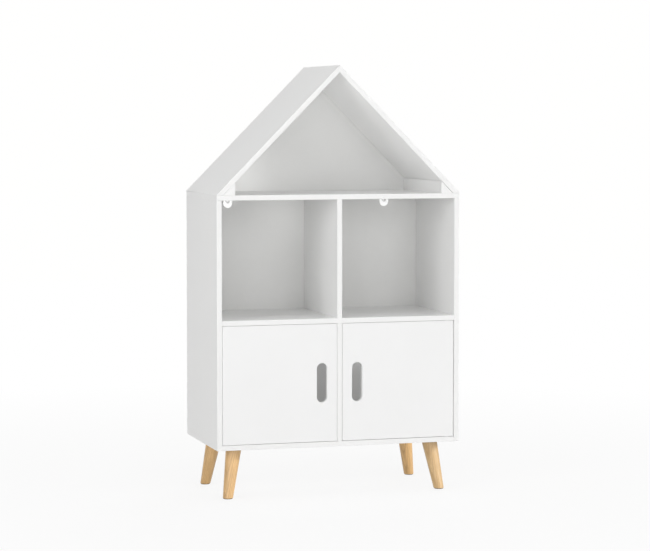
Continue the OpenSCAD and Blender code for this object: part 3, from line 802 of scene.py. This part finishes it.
def turned(name, profile, sides, flutes=0, fluteDepth=0.0):
    # a profile of (radius, height) pairs, from its start's centre to its end's, spun round Z
    verts, faces, rings = [], [], []
    for radius, height in profile:
        if radius < 1e-7:
            rings.append([len(verts)])
            verts.append((0, 0, height))
            continue
        rings.append(list(range(len(verts), len(verts) + sides)))
        for step in range(sides):
            angle = 2 * math.pi * step / sides
            reach = radius - fluteDepth * (0.5 - 0.5 * math.cos(flutes * angle))
            verts.append((reach * math.cos(angle), reach * math.sin(angle), height))
    for upper, lower in zip(rings, rings[1:]):
        for step in range(sides):
            after = (step + 1) % sides
            if len(upper) == 1:
                faces.append((upper[0], lower[after], lower[step]))
            elif len(lower) == 1:
                faces.append((upper[step], upper[after], lower[0]))
            else:
                faces.append((upper[step], upper[after], lower[after], lower[step]))
    return shaped(name, verts, faces, True)


def thread(radius, start, end, pitch, depth):
    # ridges and roots between two heights, as profile points
    points, height = [], start
    while height + pitch <= end:
        points += [(radius, height + pitch * 0.35), (radius, height + pitch * 0.5),
            (radius - depth, height + pitch * 0.85)]
        height += pitch
    return points


def recessed(blank, width, reach, top, bottom):
    # cuts the tapered cross of a screwdriver's tip into a head
    outline = []
    for quarter in range(4):
        turn = Matrix.Rotation(quarter * math.pi / 2, 3, "Z")
        for point in ((reach, -width / 2), (reach, width / 2), (width / 2, width / 2)):
            outline.append(turn @ Vector((*point, 0)))
    taper = screwSetup["crossTaper"]
    verts = [(p.x, p.y, top) for p in outline]
    verts += [(p.x * taper, p.y * taper, bottom) for p in outline]
    count = len(outline)
    faces = [tuple(range(count))[::-1], tuple(range(count, 2 * count))]
    faces += [(i, (i + 1) % count, count + (i + 1) % count, count + i) for i in range(count)]
    tip = shaped("driverTip", verts, faces, False)
    cutter = blank.modifiers.new("recess", "BOOLEAN")
    cutter.operation = "DIFFERENCE"
    cutter.solver = "EXACT"
    cutter.object = tip
    result = evaluatedMesh(blank)
    blank.modifiers.remove(cutter)
    blank.data = result
    bpy.data.objects.remove(tip)
    return blank


screwSetup = {
    "sides": 24,
    # shares of the shank's radius
    "pitch": 0.9, "threadDepth": 0.26, "plainTip": 1.4, "point": 1.3, "pointRadius": 0.8,
    "rim": 0.00015,  # flat edge of a countersunk head
    "crossTaper": 0.45, "crossStart": 0.0002,  # how narrow the cross ends, and how high it starts
    # length, shank radius, head radius and, for a pan head, its height
    "sizes": {
        "divider": (0.035, 0.002, 0.004),
        "deck": (0.038, 0.002, 0.004),
        "block": (0.022, 0.00175, 0.0035),
        "short": (0.011, 0.00175, 0.0035),
        "strike": (0.009, 0.0015, 0.0028),
        "back": (0.016, 0.0015, 0.003, 0.0015),
        "catch": (0.011, 0.0015, 0.003, 0.0015),
    },
}


def threadedShank(length, shank, start):
    # profile points from where the thread starts to the point of the screw
    return thread(shank, start, length - shank * screwSetup["plainTip"],
        shank * screwSetup["pitch"], shank * screwSetup["threadDepth"]) + [
        (shank * screwSetup["pointRadius"], length - shank * screwSetup["point"]), (0, length)]


def countersunk(length, shank, head):
    # head's face at z = 0, pointing up Z
    rim, neck = screwSetup["rim"], head - shank
    profile = [(0, 0), (head - rim, 0), (head, rim), (shank, neck), (shank, neck + 0.0008)]
    profile += threadedShank(length, shank, neck + 0.001)
    blank = turned("countersunkScrew", profile, screwSetup["sides"])
    return recessed(blank, head * 0.26, head * 0.62, -screwSetup["crossStart"], head * 0.5)


def panHead(length, shank, head, height):
    # underside of the head at z = 0, pointing up Z
    profile = [(0, -height), (head * 0.45, -height), (head * 0.78, -height * 0.86),
        (head * 0.95, -height * 0.5), (head, -height * 0.12), (head * 0.98, 0), (shank, 0)]
    profile += threadedShank(length, shank, 0.0004)
    blank = turned("panHeadScrew", profile, screwSetup["sides"])
    return recessed(
        blank, head * 0.24, head * 0.55, -height - screwSetup["crossStart"], -height * 0.25)


def islands(node):
    # the lowest and highest corner of each separate solid of a node
    bm = mergedCopy(node)
    found, seen = [], set()
    for vert in bm.verts:
        if vert.index in seen:
            continue
        stack, low, high = [vert], Vector(vert.co), Vector(vert.co)
        seen.add(vert.index)
        while stack:
            one = stack.pop()
            low = Vector(map(min, low, one.co))
            high = Vector(map(max, high, one.co))
            for edge in one.link_edges:
                other = edge.other_vert(one)
                if other.index not in seen:
                    seen.add(other.index)
                    stack.append(other)
        found.append((low, high))
    bm.free()
    return sorted(found, key=lambda pair: tuple(round(c, 4) for c in pair[0]))


def startOf(low, high, facing, head=0.0):
    # where a piece that points along facing starts, after a head of this height
    facing = Vector(facing)
    reach = abs(Vector(high - low).dot(facing)) / 2
    return (low + high) / 2 - facing * (reach - head)


def makeSet(node, body, slot, source, facing, finish, seed, head=0.0):
    # one piece in the place of each of the node's solids
    places = [startOf(low, high, facing, head) for low, high in islands(node)]
    piece = piecesAt(camelCase(node), places, [facing] * len(places), source, finish, seed)
    finished(piece, body, slot, finish, node)


up, down, forward, across = (0, 0, 1), (0, 0, -1), (0, -1, 0), (1, 0, 0)

blanks = {}
for name, size in screwSetup["sizes"].items():
    blanks[name] = countersunk(*size) if len(size) == 3 else panHead(*size)

for node, body, name, facing, seed in (
        ("divider_screws", "case", "divider", up, 3),
        ("deck_screws", "case", "deck", down, 4),
        ("eave_block_screws", "case", "block", up, 5),
        ("leg_plate_screws", "case", "short", up, 6),
        ("wall_bracket_screws", "case", "short", up, 8),
        ("catch_screws", "case", "catch", up, 9),
        ("back_panel_screws", "case", "back", forward, 11),
        ("strike_screw_left", "left_door", "strike", forward, 12),
        ("strike_screw_right", "right_door", "strike", forward, 12)):
    head = sum(screwSetup["sizes"][name][3:])  # a pan head stands before the start
    makeSet(node, body, "zinc_steel", blanks[name], facing, screwZinc, seed, head)
print("screws ready")


dowelSizes = {  # length, radius, chamfer and the number and depth of the flutes
    "side": (0.025, 0.004, 0.0008, 18, 0.00025),
    "shelf": (0.036, 0.003, 0.0007, 16, 0.0002),
    "attic": (0.020, 0.003, 0.0007, 16, 0.0002),
    "roof": (0.015, 0.0024, 0.0006, 14, 0.00018),
    "ridge": (0.016, 0.002, 0.0005, 12, 0.00015),
}


def rod(length, radius, chamfer):
    # profile of a round rod with chamfered ends
    return [(0, 0), (radius - chamfer, 0), (radius, chamfer), (radius, length - chamfer),
        (radius - chamfer, length), (0, length)]


def dowel(name, size):
    length, radius, chamfer, flutes, depth = dowelSizes[size]
    return turned(name, rod(length, radius, chamfer), flutes * 4, flutes, depth)


for node, size, facing, seed in (("side_dowels", "side", across, 13),
        ("roof_foot_dowels", "roof", up, 14), ("ridge_dowels", "ridge", across, 15)):
    makeSet(node, "case", "dowel_wood", dowel(size + "Dowel", size), facing, rawDowel, seed)

# the dividers' dowels come in two lengths, so each length has its own points
longestShort = 0.03
dividerMesh = bmesh.new()
for label, size, tall in (("shelfDowels", "shelf", True), ("atticDowels", "attic", False)):
    places = [startOf(low, high, up) for low, high in islands("divider_dowels")
        if ((high - low).z > longestShort) == tall]
    part = piecesAt(label, places, [up] * len(places), dowel(label + "Blank", size), rawDowel, 16)
    dividerMesh.from_mesh(part.data)
    bpy.data.objects.remove(part)
joined = bpy.data.meshes.new("dividerDowels")
dividerMesh.to_mesh(joined)
dividerMesh.free()
finished(linked("dividerDowels", joined), "case", "dowel_wood", rawDowel, "divider_dowels")

roundProfiles = {  # (radius, height) pairs
    "cover": [(0, 0), (0.0045, 0.00004), (0.0069, 0.00022), (0.0075, 0.0006), (0.0075, 0.001),
        (0, 0.001)],
    "glide": [(0, 0), (0.0104, 0), (0.01085, 0.0004), (0.011, 0.001), (0.0109, 0.0015),
        (0, 0.0015)],
    "pin": rod(length=0.0263, radius=0.0025, chamfer=0.0004),
}
cover = turned("coverBlank", roundProfiles["cover"], sides=40)
makeSet("cam_covers", "case", "white_plastic", cover, up, whitePlastic, seed=17)
glide = turned("glideBlank", roundProfiles["glide"], sides=48)
makeSet("foot_glides", "case", "glide", glide, up, glideFelt, seed=18)
pin = turned("pinBlank", roundProfiles["pin"], sides=32)
for side in ("left", "right"):
    makeSet("hinge_pins_" + side, side + "_door", "zinc_steel", pin, up, screwZinc, seed=19)
print("dowels, covers, glides and pins ready")


# legs: tapered and splayed, grown by one tree from their sizes

legSetup = {
    "topRadius": 0.01875, "footRadius": 0.012, "height": 0.12, "leanX": 0.0195, "leanY": 0.019,
    "insetX": 0.245, "insetY": 0.095,  # the middle of a leg's top, from the middle of the case
    "foot": 0.0015, "top": 0.117,  # the leg's own ends, on its glide and in its plate
    "rounding": 0.0009, "sides": 72, "rings": 40,
    "tones": {  # how ruddy each leg's timber is, and how pale it is made; the rear right leg's full pale is painted light for the light that falls on it
        "front_left": (0.45, 0.1), "front_right": (0.0, 0.15),
        "rear_left": (0.4, 0.0), "rear_right": (0.6, 1.0),
    },
    "plank": (0.03, 0.03, 0.5),  # how far apart in the plank the legs' grain may start
}


def makeLegTree():
    sizes = ["Top Radius", "Foot Radius", "Height", "Foot", "Top", "Rounding",
        "Lean X", "Lean Y", "Foot X", "Foot Y"]
    tree, take, give = newGroup("splayedLeg", [
        ("Geometry", "Geometry", None), *[(label, "Float", 0.01) for label in sizes],
        ("Sides", "Int", 72), ("Rings", "Int", 40), ("Seed", "Int", 1),
        ("Ruddy", "Float", 0.0), ("Pale", "Float", 0.0), ("Finish", "Material", None)],
        ["Geometry"], "Geometry", "Geometry")

    def calc(operation, first, second=0.0):
        return mathNode(tree, operation, first, second)

    line = addNode(tree, "GeometryNodeCurvePrimitiveLine", {"End": (0, 0, 1)})
    parts = addNode(tree, "GeometryNodeResampleCurve",
        {"Curve": line.outputs["Curve"], "Count": take["Rings"]})
    along = addNode(tree, "GeometryNodeSplineParameter").outputs["Factor"]
    # rings crowd towards the foot, where its edge is rounded
    crowded = calc("POWER", along, 2.0)
    height = weighed(tree, crowded, calc("SUBTRACT", take["Top"], take["Foot"]), take["Foot"], 1.0)
    seat = addNode(tree, "GeometryNodeSetPosition",
        {"Geometry": parts.outputs["Curve"], "Position": combined(tree, 0, 0, height)})
    # radius: the taper, less the rounding of the foot
    z = parted(tree, addNode(tree, "GeometryNodeInputPosition").outputs[0])["Z"]
    spread = calc("SUBTRACT", take["Top Radius"], take["Foot Radius"])
    cone = weighed(tree, take["Foot Radius"], 1.0, spread, calc("DIVIDE", z, take["Height"]))
    share = calc("DIVIDE", calc("SUBTRACT", z, take["Foot"]), take["Rounding"])
    gap = calc("SUBTRACT", 1.0, calc("MINIMUM", share, 1.0))
    arc = calc("SQRT", calc("MAXIMUM", calc("SUBTRACT", 1.0, calc("MULTIPLY", gap, gap)), 0.0))
    lost = calc("MULTIPLY", take["Rounding"], calc("SUBTRACT", 1.0, arc))
    size = addNode(tree, "GeometryNodeSetCurveRadius",
        {"Curve": seat.outputs["Geometry"], "Radius": calc("SUBTRACT", cone, lost)})
    circle = addNode(tree, "GeometryNodeCurvePrimitiveCircle",
        {"Resolution": take["Sides"], "Radius": 1.0})
    skin = addNode(tree, "GeometryNodeCurveToMesh", {
        "Curve": size.outputs["Curve"], "Profile Curve": circle.outputs["Curve"],
        "Scale": addNode(tree, "GeometryNodeInputRadius").outputs[0], "Fill Caps": True})
    # the timber's own coordinates, kept before the leg leans, with its own place in the plank
    chance = addNode(tree, "FunctionNodeRandomValue", {
        0: [-reach for reach in legSetup["plank"]], 1: legSetup["plank"],
        "Seed": take["Seed"], "ID": take["Seed"]}, data_type="FLOAT_VECTOR")
    place = addNode(tree, "GeometryNodeInputPosition").outputs[0]
    shifted = addNode(
        tree, "ShaderNodeVectorMath", {0: place, 1: chance.outputs[0]}, operation="ADD")
    kept = skin.outputs["Mesh"]
    # the tone keeps the leg's own ruddy share and its pale share, which is painted light
    for label, value in (("grain", shifted.outputs[0]),
            ("tone", combined(tree, take["Ruddy"], take["Pale"], 0.0))):
        kept = addNode(tree, "GeometryNodeStoreNamedAttribute",
            {"Geometry": kept, "Name": label, "Value": value},
            data_type="FLOAT_VECTOR", domain="POINT").outputs["Geometry"]
    # lean: the middle line runs from foot to top, and level rings are ellipses along the lean
    level = parted(tree, place)
    leanX, leanY, whole = take["Lean X"], take["Lean Y"], take["Height"]
    risen = calc("DIVIDE", level["Z"], whole)
    leanLength = calc("SQRT", weighed(tree, leanX, leanX, leanY, leanY))
    unitX, unitY = calc("DIVIDE", leanX, leanLength), calc("DIVIDE", leanY, leanLength)
    slant = calc("SQRT", weighed(tree, leanLength, leanLength, whole, whole))
    stretch = calc("SUBTRACT", calc("DIVIDE", slant, whole), 1.0)
    push = calc("MULTIPLY", weighed(tree, level["X"], unitX, level["Y"], unitY), stretch)
    moves = []
    for foot, way, unit in ((take["Foot X"], leanX, unitX), (take["Foot Y"], leanY, unitY)):
        middle = calc("SUBTRACT", foot, calc("MULTIPLY", risen, way))
        moves.append(weighed(tree, middle, 1.0, push, unit))
    lean = addNode(tree, "GeometryNodeSetPosition",
        {"Geometry": kept, "Offset": combined(tree, *moves, 0.0)})
    smooth = addNode(tree, "GeometryNodeSetShadeSmooth", {"Geometry": lean.outputs["Geometry"]})
    endTree(tree, smooth.outputs["Geometry"], take["Finish"], give["Geometry"])
    return tree


def legPlace(end, side):
    # how far a leg leans out, and the middles of its foot and its top, each as X and Y
    signX, signY = -1 if side == "left" else 1, -1 if end == "front" else 1
    lean = (signX * legSetup["leanX"], signY * legSetup["leanY"])
    top = (signX * legSetup["insetX"], signY * legSetup["insetY"])
    return lean, (top[0] + lean[0], top[1] + lean[1]), top


legTree = makeLegTree()
corners = (("front", "left"), ("front", "right"), ("rear", "left"), ("rear", "right"))
for seed, (end, side) in enumerate(corners, 2):
    lean, foot = legPlace(end, side)[:2]
    ruddy, pale = legSetup["tones"][end + "_" + side]
    node = "leg_" + end + "_" + side
    name = camelCase(node)
    leg = builtBy(legTree, name, bpy.data.meshes.new(name), {
        "Top Radius": legSetup["topRadius"], "Foot Radius": legSetup["footRadius"],
        "Height": legSetup["height"], "Foot": legSetup["foot"], "Top": legSetup["top"],
        "Rounding": legSetup["rounding"], "Lean X": lean[0], "Lean Y": lean[1],
        "Foot X": foot[0], "Foot Y": foot[1], "Sides": legSetup["sides"],
        "Rings": legSetup["rings"], "Seed": seed, "Finish": legVarnish,
        "Ruddy": ruddy, "Pale": pale})
    finished(leg, "case", "leg_wood", legVarnish, node)
print("legs ready")


# leg bolts, on the slanted lines of the legs

boltSize = {
    "length": 0.040, "radius": 0.004, "chamfer": 0.0008, "pitch": 0.00125, "threadDepth": 0.0006,
    "plain": 0.001, "in": 0.032,  # the ends without a thread, and how far it goes into the leg
}

length, radius, plain = boltSize["length"], boltSize["radius"], boltSize["plain"]
slimmed = radius - boltSize["chamfer"]
boltProfile = [(0, 0), (slimmed, 0), (radius, boltSize["chamfer"])]
boltProfile += thread(radius, plain, length - plain, boltSize["pitch"], boltSize["threadDepth"])
boltProfile += [(slimmed, length), (0, length)]
bolt = turned("boltBlank", boltProfile, sides=24)
boltPlaces, boltFacings = [], []
for end, side in (("front", "left"), ("rear", "left"), ("front", "right"), ("rear", "right")):
    foot, top = legPlace(end, side)[1:]
    top = Vector((*top, legSetup["height"]))
    way = (top - Vector((*foot, 0))).normalized()
    boltFacings.append(way)
    boltPlaces.append(top - way * boltSize["in"])
bolts = piecesAt("legBolts", boltPlaces, boltFacings, bolt, screwZinc, 21)
finished(bolts, "case", "zinc_steel", screwZinc, "leg_bolts")

# the blanks that the sets were made from aren't part of the bookcase
for blank in [one for one in scene.objects if one.type == "MESH" and "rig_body" not in one
        and not one.get("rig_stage") and "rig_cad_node" not in one]:
    bpy.data.objects.remove(blank)
print("bolts ready")
